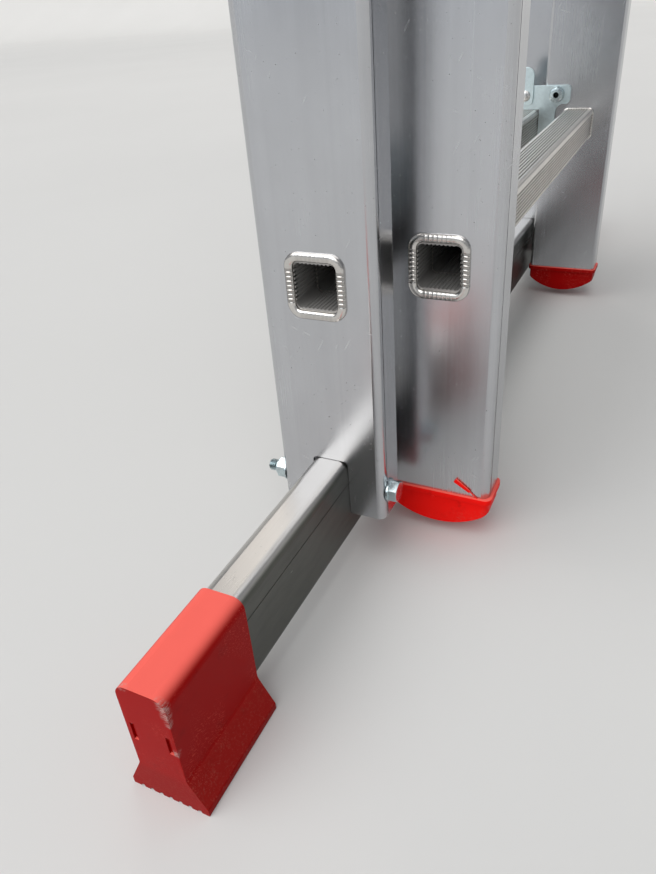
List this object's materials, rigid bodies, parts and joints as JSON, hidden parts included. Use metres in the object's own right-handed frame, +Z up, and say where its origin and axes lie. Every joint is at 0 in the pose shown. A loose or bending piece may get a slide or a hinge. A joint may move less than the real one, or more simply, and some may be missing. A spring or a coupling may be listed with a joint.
{
  "type": "extension ladder",
  "caption": "Push-up extension ladder: box stiles, ribbed square rungs, stabiliser bar with moulded feet, sliding front section on rung hooks with safety latches.",
  "frame": {"origin": "on the ground under the middle of the closed ladder", "axes": "+X along the rungs towards the right stile, +Y from the fly section at the front to the base section at the back, +Z up along the stiles"},
  "size_m": [0.987, 0.1486, 2.857],
  "materials": {
    "stile_aluminium": "mill finish, drawn lines along its length",
    "rung_aluminium": "mill finish, ribbed",
    "bar_aluminium": "mill finish, scuffed",
    "red_plastic": "moulded, satin",
    "zinc_plate": "bright zinc plated",
    "zinc_fasteners": "zinc plated",
    "rivet_aluminium": "satin"
  },
  "bodies": {
    "base": {"base_stile_left": "stile_aluminium", "base_stile_right": "stile_aluminium", "base_top_cap_left": "red_plastic", "base_top_cap_right": "red_plastic", "base_rung_01": "rung_aluminium", "base_rung_02": "rung_aluminium", "base_rung_03": "rung_aluminium", "base_rung_04": "rung_aluminium", "base_rung_05": "rung_aluminium", "base_rung_06": "rung_aluminium", "base_rung_07": "rung_aluminium", "base_rung_08": "rung_aluminium", "base_rung_09": "rung_aluminium", "base_rung_10": "rung_aluminium", "stabiliser_bar": "bar_aluminium", "bar_foot_left": "red_plastic", "bar_foot_right": "red_plastic", "bar_bolts": "zinc_fasteners", "bar_washers": "zinc_fasteners", "bar_nuts": "zinc_fasteners", "guide_left": "zinc_plate", "guide_right": "zinc_plate", "guide_bolts": "zinc_fasteners", "guide_washers": "zinc_fasteners", "guide_nuts": "zinc_fasteners"},
    "fly": {"fly_stile_left": "stile_aluminium", "fly_stile_right": "stile_aluminium", "fly_top_cap_left": "red_plastic", "fly_top_cap_right": "red_plastic", "fly_rung_01": "rung_aluminium", "fly_rung_02": "rung_aluminium", "fly_rung_03": "rung_aluminium", "fly_rung_04": "rung_aluminium", "fly_rung_05": "rung_aluminium", "fly_rung_06": "rung_aluminium", "fly_rung_07": "rung_aluminium", "fly_rung_08": "rung_aluminium", "fly_rung_09": "rung_aluminium", "fly_rung_10": "rung_aluminium", "fly_foot_left": "red_plastic", "fly_foot_right": "red_plastic", "hook_plate_left": "zinc_plate", "hook_plate_right": "zinc_plate", "hook_screws": "zinc_fasteners", "hook_rivnuts": "zinc_fasteners", "hook_rivets": "rivet_aluminium", "latch_rivets": "zinc_plate"},
    "latch_left": {"latch_left": "zinc_plate"},
    "latch_right": {"latch_right": "zinc_plate"}
  },
  "joints": [
    {"name": "fly_slide", "type": "slide", "parent": "base", "child": "fly", "axis": [0, 0, 1], "range_m": [0, 1.68]},
    {"name": "latch_left_pivot", "type": "hinge", "parent": "fly", "child": "latch_left", "pos_m": [-0.2186, 0.0222, 0.223], "axis": [1, 0, 0], "range_deg": [0, 50]},
    {"name": "latch_right_pivot", "type": "hinge", "parent": "fly", "child": "latch_right", "pos_m": [0.2186, 0.0222, 0.223], "axis": [1, 0, 0], "range_deg": [0, 50]}
  ]
}
